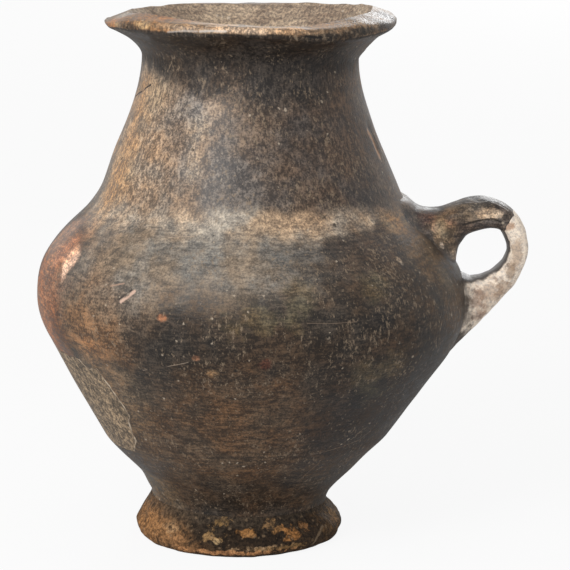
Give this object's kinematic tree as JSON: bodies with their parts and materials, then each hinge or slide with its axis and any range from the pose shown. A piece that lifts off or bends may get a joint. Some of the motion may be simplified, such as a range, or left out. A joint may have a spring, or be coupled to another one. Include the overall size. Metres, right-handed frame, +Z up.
{
  "type": "biconical urn",
  "caption": "Hand-built burnished clay urn with a wide rounded belly, conical neck, everted lip, splayed foot and a strap handle from shoulder to belly.",
  "frame": {"origin": "centre of the flat underside, on the ground", "axes": "+Z up, +X towards the handle, +Y away from the side that is seen with the handle at the right"},
  "size_m": [0.2784, 0.2448, 0.3],
  "materials": {
    "burnished_clay": "dark brown, burnished, worn satin",
    "rim_clay": "brown, burnished, worn at the edge",
    "foot_clay": "brown, rough, encrusted",
    "sherd_clay": "grey brown, dull",
    "pale_clay": "pale buff, dull"
  },
  "bodies": {
    "root": {"base_disc": "foot_clay", "foot_ring": "foot_clay", "lower_wall_coil_1": "burnished_clay", "lower_wall_coil_2": "burnished_clay", "lower_wall_coil_3": "burnished_clay", "belly_band": "burnished_clay", "shoulder_coil": "burnished_clay", "neck_coil_1": "burnished_clay", "neck_coil_2": "burnished_clay", "neck_coil_3": "burnished_clay", "rim_lip": "rim_clay", "refitted_sherd": "sherd_clay", "handle_upper": "burnished_clay", "handle_lower": "pale_clay"}
  },
  "joints": []
}
